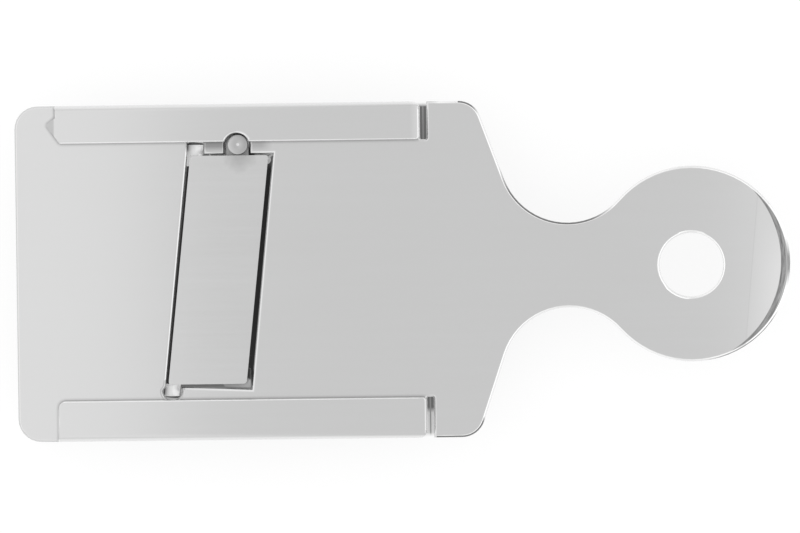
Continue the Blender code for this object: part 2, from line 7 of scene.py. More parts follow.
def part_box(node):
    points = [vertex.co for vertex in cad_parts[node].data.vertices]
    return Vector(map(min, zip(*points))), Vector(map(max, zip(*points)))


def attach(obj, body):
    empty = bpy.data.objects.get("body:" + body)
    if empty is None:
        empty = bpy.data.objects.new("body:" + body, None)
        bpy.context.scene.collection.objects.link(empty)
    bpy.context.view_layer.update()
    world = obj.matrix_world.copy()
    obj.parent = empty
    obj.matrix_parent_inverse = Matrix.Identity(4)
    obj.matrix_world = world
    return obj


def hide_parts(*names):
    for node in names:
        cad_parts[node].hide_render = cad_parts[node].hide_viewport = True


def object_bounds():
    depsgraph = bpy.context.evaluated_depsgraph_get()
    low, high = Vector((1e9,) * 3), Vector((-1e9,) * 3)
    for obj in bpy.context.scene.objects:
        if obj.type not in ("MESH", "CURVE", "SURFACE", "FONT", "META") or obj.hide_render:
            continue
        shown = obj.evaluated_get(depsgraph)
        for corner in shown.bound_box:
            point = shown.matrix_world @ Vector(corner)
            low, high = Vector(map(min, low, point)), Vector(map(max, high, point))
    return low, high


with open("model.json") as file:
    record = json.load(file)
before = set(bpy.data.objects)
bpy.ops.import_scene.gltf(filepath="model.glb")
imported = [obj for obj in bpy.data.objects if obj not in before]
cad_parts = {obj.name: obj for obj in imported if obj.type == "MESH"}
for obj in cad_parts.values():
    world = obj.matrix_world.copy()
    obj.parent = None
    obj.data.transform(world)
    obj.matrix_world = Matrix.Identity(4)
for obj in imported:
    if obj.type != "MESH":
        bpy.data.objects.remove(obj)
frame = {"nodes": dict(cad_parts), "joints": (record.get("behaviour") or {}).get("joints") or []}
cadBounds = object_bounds()
mm = 0.001
near = 0.001 * mm               # places closer than this are the same
print("frame loaded:", len(frame["nodes"]), "solids")


# places that the looks are hung on, read from the solids

def middle(node):
    low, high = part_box(node)
    return (low + high) / 2


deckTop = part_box("blade")[1].z
knobLow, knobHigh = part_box("adjusting_knob")
studAxis = middle("adjusting_knob")
bladeTilt = next(joint for joint in frame["joints"] if joint["name"] == "blade_tilt")
rodMiddle = Vector(bladeTilt["pos_m"])
rodWay = -Vector(bladeTilt["axis"])     # along the rod, towards the adjuster's side


# modelling by hand, in steps that several pieces share

def deselectAll():
    if bpy.context.object and bpy.context.object.mode == "EDIT":
        bpy.ops.object.mode_set(mode="OBJECT")
    bpy.ops.object.select_all(action="DESELECT")


def makeActive(piece):
    deselectAll()
    piece.select_set(True)
    bpy.context.view_layer.objects.active = piece


def startEdit(piece, elements="VERT"):
    makeActive(piece)
    bpy.ops.object.mode_set(mode="EDIT")
    bpy.ops.mesh.select_mode(type=elements)
    bpy.ops.mesh.select_all(action="DESELECT")


def endEdit():
    bpy.ops.object.mode_set(mode="OBJECT")


def pick(piece, elements, test):
    # selects by place: test gets a vertex's position, or the positions of an edge's two ends
    startEdit(piece, elements)
    endEdit()
    mesh = piece.data
    if elements == "VERT":
        for v in mesh.vertices:
            v.select = test(v.co)
    else:
        for e in mesh.edges:
            e.select = test(*[mesh.vertices[i].co for i in e.vertices])
    bpy.ops.object.mode_set(mode="EDIT")


def placeInMesh(piece):
    makeActive(piece)
    bpy.ops.object.transform_apply(location=True, rotation=True, scale=True)


def applyAll(piece):
    makeActive(piece)
    for modifier in list(piece.modifiers):
        bpy.ops.object.modifier_apply(modifier=modifier.name)


def carve(piece, cutter, operation="DIFFERENCE"):
    boolean = piece.modifiers.new("carve", "BOOLEAN")
    boolean.operation = operation
    boolean.solver = "EXACT"
    boolean.object = cutter
    applyAll(piece)
    bpy.data.objects.remove(cutter, do_unlink=True)


def mergeDoubles():
    bpy.ops.mesh.select_all(action="SELECT")
    bpy.ops.mesh.remove_doubles(threshold=0.5 * near)


def mergedCopy(node, name, flat=0.4):
    # the solid's own shape as clean faces, ready for finer edges; flat is an angle in degrees
    piece = bpy.data.objects.new(name, frame["nodes"][node].data.copy())
    bpy.context.scene.collection.objects.link(piece)
    piece.data.materials.clear()
    startEdit(piece)
    mergeDoubles()
    bpy.ops.mesh.dissolve_limited(angle_limit=math.radians(flat))
    endEdit()
    return piece


def softenEdges(piece, width, segments=2, sharperThan=40):
    bevel = piece.modifiers.new("soften", "BEVEL")
    bevel.width = width
    bevel.segments = segments
    bevel.limit_method = "ANGLE"
    bevel.angle_limit = math.radians(sharperThan)
    bevel.harden_normals = False
    applyAll(piece)


def ringStack(name, rings, at, steps=96, closed=False):
    # a turned piece: a ring of points carried down and resized from one (radius, height) to the next
    deselectAll()
    radius, height = rings[0]
    base = Vector((at.x, at.y, 0))
    bpy.ops.mesh.primitive_circle_add(vertices=steps, radius=radius, location=base + Vector((0, 0, height)))
    piece = bpy.context.object
    piece.name = name
    bpy.ops.object.mode_set(mode="EDIT")
    bpy.ops.mesh.select_mode(type="EDGE")
    bpy.ops.mesh.select_all(action="SELECT")
    for nextRadius, nextHeight in rings[1:] + (rings[:1] if closed else []):
        move = (0, 0, nextHeight - height)
        bpy.ops.mesh.extrude_edges_move(TRANSFORM_OT_translate={"value": move})
        scale = nextRadius / radius
        bpy.ops.transform.resize(value=(scale, scale, 1), center_override=base)
        radius, height = nextRadius, nextHeight
    if not closed:
        bpy.ops.mesh.edge_face_add()
    endEdit()
    placeInMesh(piece)
    if not closed:
        top = rings[0][1]
        pick(piece, "EDGE", lambda a, b: abs(a.z - top) < near and abs(b.z - top) < near
             and abs((a - base).xy.length - rings[0][0]) < near)
        bpy.ops.mesh.edge_face_add()
    bpy.ops.object.mode_set(mode="EDIT")
    mergeDoubles()
    bpy.ops.mesh.normals_make_consistent(inside=False)
    endEdit()
    return piece


def cutterBox(size, at, turn=0.0):
    deselectAll()
    bpy.ops.mesh.primitive_cube_add(size=1, location=at, rotation=(0, 0, turn), scale=size)
    return bpy.context.object


def cutterRod(radius, depth, at, steps=64):
    deselectAll()
    bpy.ops.mesh.primitive_cylinder_add(vertices=steps, radius=radius, depth=depth, location=at)
    return bpy.context.object


def markEdges(piece, test, crisp):
    # marks edges as crisp or rounded: test gets the two faces' normals
    sides = {}
    for face in piece.data.polygons:
        for key in face.edge_keys:
            sides.setdefault(key, []).append(face.normal.copy())
    startEdit(piece, "EDGE")
    endEdit()
    for edge in piece.data.edges:
        pair = sides.get(edge.key, [])
        edge.select = len(pair) == 2 and test(*pair)
    bpy.ops.object.mode_set(mode="EDIT")
    bpy.ops.mesh.mark_sharp(clear=not crisp)
    endEdit()


def finishPiece(piece, body, material, nodes, smoothTo=30, marks=()):
    makeActive(piece)
    bpy.ops.object.shade_smooth_by_angle(angle=math.radians(smoothTo))
    for test, crisp in marks:
        markEdges(piece, test, crisp)
    weighted = piece.modifiers.new("evenShading", "WEIGHTED_NORMAL")
    weighted.keep_sharp = True
    applyAll(piece)
    piece.data.materials.clear()
    piece.data.materials.append(material)
    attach(piece, body)
    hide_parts(*nodes)
    print("made", piece.name, len(piece.data.polygons), "faces")
    return piece


# shader nodes, written as arithmetic

class Wire:
    # one output of the nodes
    def __init__(self, paint, socket):
        self.paint = paint
        self.socket = socket

    def __add__(self, other):
        return self.paint.maths("ADD", self, other)

    def __radd__(self, other):
        return self.paint.maths("ADD", other, self)

    def __sub__(self, other):
        return self.paint.maths("SUBTRACT", self, other)

    def __rsub__(self, other):
        return self.paint.maths("SUBTRACT", other, self)

    def __mul__(self, other):
        return self.paint.maths("MULTIPLY", self, other)

    def __rmul__(self, other):
        return self.paint.maths("MULTIPLY", other, self)

    def __truediv__(self, other):
        return self.paint.maths("DIVIDE", self, other)

    def __rtruediv__(self, other):
        return self.paint.maths("DIVIDE", other, self)


class Paint:
    # the nodes of a material or of the world
    def __init__(self, owner, shader="Principled BSDF"):
        self.owner = owner
        self.owner.use_nodes = True
        self.tree = owner.node_tree
        self.shader = self.tree.nodes[shader]

    def node(self, kind, settings=None, sockets=None, output=0):
        made = self.tree.nodes.new(kind)
        for key, value in (settings or {}).items():
            if key == "stops":
                ramp = made.color_ramp
                while len(ramp.elements) < len(value):
                    ramp.elements.new(0.5)
                for element, (position, grey) in zip(ramp.elements, value):
                    element.position = position
                    element.color = (grey, grey, grey, 1)
            else:
                setattr(made, key, value)
        for key, value in (sockets or {}).items():
            self.feed(made.inputs[key], value)
        return Wire(self, made.outputs[output])

    def feed(self, socket, value):
        if isinstance(value, Wire):
            self.tree.links.new(value.socket, socket)
        else:
            socket.default_value = value

    def give(self, socket, value):
        # a value or a link for one of the shader's own sockets
        self.feed(self.shader.inputs[socket], value)

    def maths(self, operation, first, second):
        return self.node("ShaderNodeMath", {"operation": operation}, {0: first, 1: second})

    def place(self, centre=(0, 0, 0), turn=0.0, stretch=(1, 1, 1)):
        # object coordinates about a centre, turned about Z, then stretched along the turned axes
        here = self.node("ShaderNodeTexCoord", output="Object")
        away = self.node("ShaderNodeVectorMath", {"operation": "SUBTRACT"}, {0: here, 1: centre})
        turned = self.node("ShaderNodeMapping", {"vector_type": "POINT"},
                           {"Vector": away, "Rotation": (0, 0, turn)})
        return self.node("ShaderNodeVectorMath", {"operation": "MULTIPLY"}, {0: turned, 1: stretch})

    def noise(self, where, scale=1.0, detail=3.0, roughness=0.55):
        return self.node("ShaderNodeTexNoise", {"noise_dimensions": "3D"},
                         {"Vector": where, "Scale": scale, "Detail": detail, "Roughness": roughness})

    def ramp(self, value, stops):
        return self.node("ShaderNodeValToRGB", {"stops": stops}, {"Fac": value})

    def blend(self, factor, first, second):
        mixed = self.node("ShaderNodeMix", {"data_type": "RGBA"}, {"Factor": factor})
        mixNode = mixed.socket.node
        self.feed(mixNode.inputs[6], first)
        self.feed(mixNode.inputs[7], second)
        return Wire(self, mixNode.outputs[2])

    def part(self, where, axis):
        return self.node("ShaderNodeSeparateXYZ", sockets={0: where}, output=axis)

    def reach(self, at):
        # distance from an upright axis
        flat = self.place(centre=(*at, 0), stretch=(1, 1, 0))
        return self.node("ShaderNodeVectorMath", {"operation": "LENGTH"}, {0: flat}, "Value")

    def size(self, value):
        return self.node("ShaderNodeMath", {"operation": "ABSOLUTE"}, {0: value})

    def clamp(self, value):
        return self.node("ShaderNodeClamp", sockets={0: value})

    def over(self, value, limit, soft=0.03 * mm):
        # 1 above the limit and 0 under it, with a soft step
        return self.clamp((value - limit) / soft + 0.5)

    def scaled(self, colour, factor):
        return self.node("ShaderNodeVectorMath", {"operation": "SCALE"}, {0: colour, "Scale": factor})

    def openness(self, reach):
        # how open the surface is to its surroundings, 0 to 1
        return self.node("ShaderNodeAmbientOcclusion", {"samples": 12}, {"Distance": reach}, "AO")

    def bump(self, height, distance):
        return self.node("ShaderNodeBump", sockets={"Height": height, "Distance": distance,
                                                    "Strength": 1.0})


def grey(level, warmth=0.0):
    return (level * (1 + warmth), level, level * (1 - warmth), 1)


def dimmed(mask, tone):
    # 1 outside the mask and the tone inside it
    return 1 - mask * (1 - tone)


# steels; in every look a pair is where a soft step lies and how wide it is

satinLook = {"tone": 0.60, "toneSpread": 0.015, "warmth": 0.004,
             "roughness": 0.22, "roughnessSpread": 0.04, "grainTurn": 0,
             "grainLength": 14 * mm, "grainWidth": 0.12 * mm, "grainDepth": 0.0006 * mm,
             "bandStretch": (20, 700, 700), "cloudStretch": (25, 60, 60),
             "grainShare": 0.35, "bandShare": 0.3, "cloudShare": 0.35,
             "crevice": 2.0 * mm, "creviceShadeTone": 0.24, "creviceStops": [(0.3, 0.0), (0.95, 1.0)]}


def satinPaint(name, look):
    # fine grain, wide bands and soft clouds, with painted shade where the surface is closed in
    paint = Paint(bpy.data.materials.new(name))
    turn = math.radians(look["grainTurn"])
    along, across = 1 / look["grainLength"], 1 / look["grainWidth"]
    grain = paint.noise(paint.place(turn=turn, stretch=(along, across, across)), detail=4.0, roughness=0.6)
    band = paint.noise(paint.place(turn=turn, stretch=look["bandStretch"]), detail=2.0, roughness=0.5)
    cloud = paint.noise(paint.place(stretch=look["cloudStretch"]), roughness=0.5)
    mixed = grain * look["grainShare"] + band * look["bandShare"] + cloud * look["cloudShare"]
    low = grey(look["tone"] - look["toneSpread"], look["warmth"])
    high = grey(look["tone"] + look["toneSpread"], -look["warmth"])
    # painted shade: the colour goes darker where the surface is closed in
    share = paint.ramp(paint.openness(look["crevice"]), look["creviceStops"])
    paint.colour = paint.blend(share, grey(look["creviceShadeTone"]), paint.blend(mixed, low, high))
    paint.give("Base Color", paint.colour)
    paint.give("Metallic", 1.0)
    paint.give("Roughness", look["roughness"] + (mixed - 0.5) * (2 * look["roughnessSpread"]))
    paint.give("Normal", paint.bump(grain, look["grainDepth"]))
    return paint


def shadedSteel(name, look):
    # satin steel with a dark corner, where the piece above keeps the light off
    paint = satinPaint(name, look)
    corner = 1 - paint.over(paint.reach(look["shadeAt"]), *look["shade"])
    paint.give("Base Color", paint.scaled(paint.colour, dimmed(corner, look["shadeTone"])))
    return paint.owner


turnedLook = {"tone": 0.62, "toneLow": 0.92, "toneHigh": 1.06, "roughness": 0.24, "roughnessSpread": 0.1,
              "ringPitch": 0.16 * mm, "ringDepth": 0.002 * mm, "sideRings": 0.7,
              "wobbleScale": 900, "wobble": 1.5, "blotchScale": 350,
              "ringShare": 0.4, "blotchShare": 0.6}


def turnedPaint(name, look, centre, along=None):
    # lathe marks: rings about an upright axis, or about the axis along a rod
    paint = Paint(bpy.data.materials.new(name))
    where = paint.place(centre=tuple(centre))
    if along is None:
        travel = paint.reach(centre.xy) + paint.part(where, "Z") * look["sideRings"]
    else:
        travel = paint.node("ShaderNodeVectorMath", {"operation": "DOT_PRODUCT"},
                            {0: where, 1: tuple(along)}, "Value")
    wobble = paint.noise(where, look["wobbleScale"], detail=2.0) * look["wobble"]
    phase = travel * (2 * math.pi / look["ringPitch"]) + wobble
    wave = paint.node("ShaderNodeMath", {"operation": "SINE"}, {0: phase}) * 0.5 + 0.5
    blotch = paint.noise(where, look["blotchScale"])
    mixed = wave * look["ringShare"] + blotch * look["blotchShare"]
    low = grey(look["tone"] * look["toneLow"])
    high = grey(look["tone"] * look["toneHigh"])
    paint.colour = paint.blend(mixed, low, high)
    paint.give("Base Color", paint.colour)
    paint.give("Metallic", 1.0)
    paint.give("Roughness", look["roughness"] + blotch * look["roughnessSpread"])
    paint.give("Normal", paint.bump(wave, look["ringDepth"]))
    return paint


# body plate, with its folded rails

plateLook = {
    "steel": dict(satinLook, crevice=1.0 * mm, creviceShadeTone=0.26),
    "eyeRadius": 26.3 * mm, "eyeRise": 0.7 * mm, "railLeast": 0.3 * mm,
    "tip": {"setback": 4.45 * mm, "rise": 0.65 * mm, "radius": 28.3 * mm, "soft": 0.15 * mm,
            "rim": 0.62 * mm, "rimSoft": 0.2 * mm, "noseReach": 7.2 * mm, "noseSoft": 5.5 * mm,
            "scratchWidth": 0.3 * mm, "scratchLength": 5 * mm, "scratchStops": [(0.35, 0.0), (0.75, 1.0)],
            "scratchLow": 0.14, "scratchHigh": 0.42, "band": 1.35 * mm, "bandSoft": 0.3 * mm,
            "bandLeast": 0.6, "bandTone": 0.44,
            "turned": 0.75 * mm, "ringEdgeShadeSoft": 0.2 * mm, "ringEdgeShadeTone": 0.8},
    "relief": {"x": 93.875 * mm, "turn": 5.2, "start": (3.5 * mm, 7 * mm), "reach": 18 * mm,
               "lift": 0.13, "line": (0.12 * mm, 0.1 * mm), "lineShadeDepth": 0.05},
    "rim": {"width": 0.25 * mm, "below": (13 * mm, 3 * mm), "past": 6 * mm, "pastSoft": 6 * mm,
            "tone": 0.4},
    "edge": {"width": 0.45 * mm, "tone": 0.32, "shoulder": (15.475 * mm, 38.9 * mm),
             "radius": 6.3 * mm, "start": 1.5 * mm, "slack": 0.5 * mm,
             "upperEnd": 4.5 * mm, "upperSoft": 2 * mm, "sideStart": 8.6 * mm,
             "neck": (44.645 * mm, 30.2 * mm), "neckRadius": 18.1 * mm,
             "neckStart": (27.5 * mm, 3 * mm), "neckEnd": (54 * mm, 6 * mm)},
    "shade": {"inner": 35.0 * mm, "width": 2.9 * mm, "rise": 0.6, "start": (-58 * mm, 0.3 * mm),
              "end": (-36 * mm, 3 * mm), "studSoft": 1 * mm, "pastStud": 0.55, "tone": 0.5},
    "rail": {"nose": (-93.2 * mm, 0.1 * mm), "noseTone": 0.8, "fold": (44.1 * mm, 0.3 * mm),
             "foldTone": 0.88, "foldWidth": 0.65 * mm, "foldLift": 0.4,
             "end": 2.6 * mm, "endWidth": 2 * mm, "endLift": 0.15},
    "start": {"x": -93.2 * mm, "half": (0.15 * mm, 0.15 * mm), "y": -36.5 * mm, "lift": 0.3},
    "notch": {"at": (-62.4 * mm, -31.8 * mm), "reach": (3.5 * mm, 0.3 * mm), "under": 0.03 * mm,
              "tone": 0.7},
    "arris": {"bent": (0.03, 0.06), "level": (0.2, 0.1), "lift": 0.06,
              "windowStart": -75 * mm, "windowEnd": (-59.5 * mm, 1 * mm), "windowSlant": 0.1025,
              "windowLift": 0.22, "handle": (9.5 * mm, 2 * mm), "handleLift": 0.34,
              "railBent": (0.16, 0.06), "railInside": 43.1 * mm, "railStart": (-91.7 * mm, 0.4 * mm),
              "railEnd": (4 * mm, 0.4 * mm), "railEndShare": 0.6, "railLift": 0.4},
    "marks": {"stepTilts": (22.5, 67.5), "slack": 2.5, "levelTilt": 2,
              "ridgeTilts": ((0.8, 1.6), (26, 36))}}


def groundTip(paint, look, eye, eyeRadius, y, ring):
    # the tip's ground face, scratched along its arc, inside a clean rim that it meets at the nose; its dark
    # tone is partly painted shade of the tilted face, with a paler painted band outward and painted shade
    # at the ring's edge
    arc = paint.reach((eye[0] - look["setback"], eye[1] + look["rise"]))
    rim = paint.over(ring, eyeRadius - look["rim"], look["rimSoft"])
    nose = paint.clamp((look["noseReach"] - paint.size(y - eye[1])) / look["noseSoft"])
    lines = paint.node("ShaderNodeCombineXYZ", sockets={
        "X": arc / look["scratchWidth"], "Y": y / look["scratchLength"]}, output="Vector")
    scratch = paint.ramp(paint.noise(lines, roughness=0.6), look["scratchStops"])
    dark = paint.blend(scratch, grey(look["scratchLow"]), grey(look["scratchHigh"]))
    # painted light: a paler band towards the face's outer side
    band = paint.over(arc, look["radius"] + look["band"], look["bandSoft"])
    band = band * (look["bandLeast"] + (1 - look["bandLeast"]) * scratch)
    ground = paint.blend(band, dark, grey(look["bandTone"]))
    # painted shade along the ring's outer edge
    turned = paint.over(ring, eyeRadius - look["turned"], look["ringEdgeShadeSoft"])
    ground = paint.scaled(ground, dimmed(turned, look["ringEdgeShadeTone"]))
    return paint.over(arc, look["radius"], look["soft"]) * (1 - rim * (1 - nose)), ground


def reliefLevel(paint, look, y, tip):
    # painted light: the ring is a little paler beyond the faint line where its relief starts, and the line
    # itself is painted shade
    away = paint.part(paint.place((look["x"], 0, 0), math.radians(look["turn"])), "X")
    rise = paint.clamp((look["reach"] - y) / look["reach"])
    lift = paint.over(away, *look["start"]) * rise * look["lift"]
    line = (1 - paint.over(paint.size(away), *look["line"])) * tip * look["lineShadeDepth"]
    return (1 + lift) * (1 - line)


def edgeLine(paint, look, x, y):
    # painted shade: dark lines along the deck's right corners, its lower side and the neck, for the dark
    # reflection in their rounded edges
    over = paint.over
    shoulderX, shoulderY = look["shoulder"]
    nearest = paint.maths("MINIMUM", paint.reach((shoulderX, shoulderY)),
                          paint.reach((shoulderX, -shoulderY)))
    upperEnd = over(x, shoulderX + look["upperEnd"], look["upperSoft"]) * over(y, 0)
    corner = (over(nearest, look["radius"] - look["width"]) * over(x, shoulderX)
              * over(paint.size(y), shoulderY + look["start"], look["start"])
              * (1 - over(nearest, look["radius"] + look["slack"])) * (1 - upperEnd))
    halfWidth = shoulderY + look["radius"]
    side = ((1 - over(y, look["width"] - halfWidth)) * over(x, look["sideStart"])
            * (1 - over(x, shoulderX)))
    neck = ((1 - over(paint.reach(look["neck"]), look["neckRadius"] + look["width"]))
            * over(x, *look["neckStart"]) * (1 - over(x, *look["neckEnd"])))
    return paint.maths("MAXIMUM", paint.maths("MAXIMUM", corner, side), neck)


def railShade(paint, look, x, y):
    # shade on the deck under the rail, beside the adjuster
    high = paint.clamp((y - look["inner"] + look["width"]) / (look["rise"] * look["width"]))
    shade = (high * (1 - paint.over(y, look["inner"])) * paint.over(x, *look["start"])
             * (1 - paint.over(x, *look["end"])))
    return shade * dimmed(paint.over(x, studAxis.x, look["studSoft"]), look["pastStud"])


def railLevel(paint, look, x, y):
    # on the rails: painted shade on the nose's ramp and the folds' outer sides, lighter outward, and
    # painted light on the upper rail's right end
    over = paint.over
    edgeY = paint.size(y)
    ramp = 1 - over(x, *look["nose"])
    outward = paint.clamp((edgeY - look["fold"][0]) / look["foldWidth"])
    fold = over(edgeY, *look["fold"]) * (1 - look["foldTone"] - outward * look["foldLift"])
    end = paint.clamp((x - look["end"]) / look["endWidth"]) * over(y, 0) * look["endLift"]
    return dimmed(ramp, look["noseTone"]) * (1 - fold) * (1 + end)


def startLevel(paint, look, x, y):
    # painted light: a paler strip over the lower rail's left end
    line = (1 - paint.over(paint.size(x - look["x"]), *look["half"])) * (1 - paint.over(y, look["y"]))
    return 1 + line * look["lift"]


def arrisLevel(paint, look, x, y, raised, unlined):
    # painted highlights on the arrises: faint all round, more at the window, the handle and the rails
    over = paint.over
    flatness = paint.size(paint.part(paint.node("ShaderNodeTexCoord", output="Normal"), "Z"))
    bent = 1 - flatness
    level = over(flatness, *look["level"])
    slanted = x - y * look["windowSlant"]
    window = over(x, look["windowStart"]) * (1 - over(slanted, *look["windowEnd"])) * look["windowLift"]
    handle = over(x, *look["handle"]) * look["handleLift"]
    deck = (over(bent, *look["bent"]) * level * (1 - raised) * unlined
            * (look["lift"] + window + handle))
    rail = (over(bent, *look["railBent"]) * level * raised * (1 - over(paint.size(y), look["railInside"]))
            * over(x, *look["railStart"]) * dimmed(over(x, *look["railEnd"]), look["railEndShare"])
            * look["railLift"])
    return (1 + deck) * (1 + rail)


def paintPlate(look):
    paint = satinPaint("plateSteel", look["steel"])
    over = paint.over
    eye = (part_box("body_plate")[1].x - look["eyeRadius"], look["eyeRise"])
    here = paint.place()
    x, y, z = [paint.part(here, axis) for axis in "XYZ"]
    ring = paint.reach(eye)
    tip = over(x, eye[0])
    raised = over(z, deckTop + look["railLeast"])
    inside, ground = groundTip(paint, look["tip"], eye, look["eyeRadius"], y, ring)
    rim = look["rim"]
    # painted shade: a dark line along the ring's edge, on its lower side past the eye
    rimLine = (over(ring, look["eyeRadius"] - rim["width"]) * over(-1 * y, *rim["below"])
               * over(x, eye[0] + rim["past"], rim["pastSoft"]))
    edges = edgeLine(paint, look["edge"], x, y)
    shade = railShade(paint, look["shade"], x, y) * (1 - raised)
    # painted shade round the lower notch, below the deck's top
    notch = ((1 - over(paint.reach(look["notch"]["at"]), *look["notch"]["reach"]))
             * over(deckTop - z, look["notch"]["under"]))
    # the plate's colour, scaled by its painted light and shade
    level = (reliefLevel(paint, look["relief"], y, tip) * dimmed(rimLine, rim["tone"])
             * dimmed(edges, look["edge"]["tone"]) * dimmed(shade, look["shade"]["tone"])
             * dimmed(notch, look["notch"]["tone"])
             * (1 + raised * (railLevel(paint, look["rail"], x, y) - 1))
             * startLevel(paint, look["start"], x, y)
             * arrisLevel(paint, look["arris"], x, y, raised, (1 - edges) * (1 - rimLine)))
    clean = paint.scaled(paint.colour, level)
    paint.give("Base Color", paint.blend(inside * tip, clean, ground))
    return paint.owner


def makePlate(look):
    plate = mergedCopy("body_plate", "slicerPlate")
    marks = look["marks"]

    def tilts(a, b):
        # two faces' angles from level, in degrees
        return sorted(math.degrees(math.acos(min(1.0, abs(n.z)))) for n in (a, b))

    def rounded(a, b):
        # the middle of an edge rounded in two steps
        apart = [abs(tilt - step) for tilt, step in zip(tilts(a, b), marks["stepTilts"])]
        return max(apart) < marks["slack"] and a.z * b.z > 0

    def ridge(a, b):
        # the tip's two ground faces and the nose's ramp
        low, high = tilts(a, b)
        steep = any(least < high < most for least, most in marks["ridgeTilts"])
        return a.z > 0 and b.z > 0 and low < marks["levelTilt"] and steep

    return finishPiece(plate, "frame", paintPlate(look), ["body_plate"],
                       marks=[(rounded, False), (ridge, True)])


makePlate(plateLook)


# blade, ground across its width

bladeLook = dict(satinLook, tone=0.59, toneSpread=0.03, roughnessSpread=0.05, grainLength=9 * mm,
                 grainWidth=0.2 * mm, grainDepth=0.0012 * mm, crevice=0.6 * mm, creviceShadeTone=0.3,
                 edgeWidth=0.1 * mm, bladeShadeAt=(-43.3 * mm, 31.6 * mm), bladeShade=(3.2 * mm, 3.4 * mm),
                 bladeShadeScale=350, bladeShadeRagged=3 * mm, bladeShadeTone=0.76)


def makeBlade(look):
    blade = mergedCopy("blade", "slicerBlade")
    softenEdges(blade, look["edgeWidth"])
    paint = satinPaint("bladeSteel", look)
    # painted shade on the blade beside the stud's head, under the rail
    ragged = (paint.noise(paint.place(), look["bladeShadeScale"]) - 0.5) * look["bladeShadeRagged"]
    bladeShade = 1 - paint.over(paint.reach(look["bladeShadeAt"]) + ragged, *look["bladeShade"])
    paint.give("Base Color", paint.scaled(paint.colour, dimmed(bladeShade, look["bladeShadeTone"])))
    return finishPiece(blade, "blade_unit", paint.owner, ["blade"])


makeBlade(bladeLook)


# carrier under the blade

carrierLook = dict(satinLook, tone=0.5, roughness=0.36, grainTurn=90, edgeWidth=0.15 * mm,
                   shadeAt=(-41.0 * mm, -27.2 * mm), shade=(1.9 * mm, 0.5 * mm), shadeTone=0.15)


def makeCarrier(look):
    carrier = mergedCopy("blade_carrier", "bladeCarrier")
    softenEdges(carrier, look["edgeWidth"])
    steel = shadedSteel("carrierSteel", look)
    return finishPiece(carrier, "blade_unit", steel, ["blade_carrier"])


makeCarrier(carrierLook)


# pivot rod, with painted shade along its top, where the blade covers it, and pale ends in painted light

rodLook = dict(turnedLook, tone=0.64, roughness=0.2, ringPitch=0.2 * mm, ringDepth=0.001 * mm,
               radius=2.0 * mm, chamfer=0.25 * mm, steps=64,
               rodShadeMiddle=-0.7 * mm, rodShade=(29.3 * mm, 0.1 * mm), rodShadeOver=0.3 * mm,
               rodShadeScale=300, rodShadeLow=0.008, rodShadeHigh=0.024,
               endScale=500, endLow=0.648, endHigh=0.72, endMetal=0.1, endRough=0.35,
               rimMiddle=0.5 * mm, rim=(33.8 * mm, 0.1 * mm), rimShadeTone=0.12,
               endGlow=0.2, side=(0.6 * mm, 1.4 * mm), sideGlow=0.5,
               glintScale=420, glintStops=[(0.45, 0.0), (0.55, 1.0)])


def paintRod(look, centre):
    paint = turnedPaint("rodSteel", look, centre, rodWay)
    here = paint.place(centre=tuple(rodMiddle))
    along = paint.part(here, "Y")
    # painted shade: the top is painted nearly black between the ends
    beyond = paint.over(paint.size(along - look["rodShadeMiddle"]), *look["rodShade"])
    top = paint.over(paint.part(here, "Z"), look["rodShadeOver"])
    rodShade = paint.blend(paint.noise(here, look["rodShadeScale"]), grey(look["rodShadeLow"]),
                         grey(look["rodShadeHigh"]))
    rodShaded = paint.blend((1 - beyond) * top, paint.colour, rodShade)
    # painted shade in a dark ring at each end; painted light in the pale, dull ends
    rim = paint.over(paint.size(along - look["rimMiddle"]), *look["rim"])
    pale = paint.blend(paint.noise(here, look["endScale"]), grey(look["endLow"]), grey(look["endHigh"]))
    ends = paint.blend(rim, pale, grey(look["rimShadeTone"]))
    paint.give("Base Color", paint.blend(beyond, rodShaded, ends))
    paint.give("Metallic", dimmed(beyond, look["endMetal"]))
    paint.give("Roughness", look["roughness"] + beyond * look["endRough"])
    # painted light: the ends glow as if in bright bounced light, more so on their right side, with painted
    # glints
    side = paint.over(paint.part(here, "X") - along * (rodWay.x / rodWay.y), *look["side"])
    glints = paint.ramp(paint.noise(here, look["glintScale"], detail=1.0), look["glintStops"])
    glow = beyond * (1 - rim) * look["endGlow"] * (1 + side * (look["sideGlow"] + glints))
    paint.give("Emission Color", paint.scaled(grey(1.0)[:3], glow))
    paint.give("Emission Strength", 1.0)
    return paint.owner


def makeRod(look):
    low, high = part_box("pivot_rod")
    centre = (low + high) / 2
    chamfer = look["chamfer"]
    radius = look["radius"]
    half = (high.y - low.y) / rodWay.y / 2 - radius * abs(rodWay.x)
    rings = [(radius - chamfer, half), (radius, half - chamfer),
             (radius, chamfer - half), (radius - chamfer, -half)]
    rod = ringStack("pivotRod", rings, Vector((0, 0, 0)), steps=look["steps"])
    turn = Vector((0, 0, 1)).rotation_difference(rodWay)
    rod.matrix_world = Matrix.Translation(centre) @ turn.to_matrix().to_4x4()
    placeInMesh(rod)
    return finishPiece(rod, "blade_unit", paintRod(look, centre), ["pivot_rod"])


makeRod(rodLook)


# adjusting stud, with its centre mark, thread and flat

studLook = dict(turnedLook, tone=0.46, roughness=0.27, ringPitch=0.22 * mm, ringDepth=0.003 * mm,
                headRadius=2.7 * mm, headHeight=0.8 * mm, headChamfer=0.25 * mm, chamferBreak=0.3,
                shankRadius=1.5 * mm, shankLength=1.6 * mm, threadPitch=0.5 * mm,
                threadDepth=0.22 * mm, flat=0.4 * mm, flatDrop=2 * mm,
                markRadius=0.4 * mm, markDepth=0.18 * mm, markFloor=0.05 * mm,
                markSoft=0.2 * mm, markLift=0.5, sideDim=0.2)


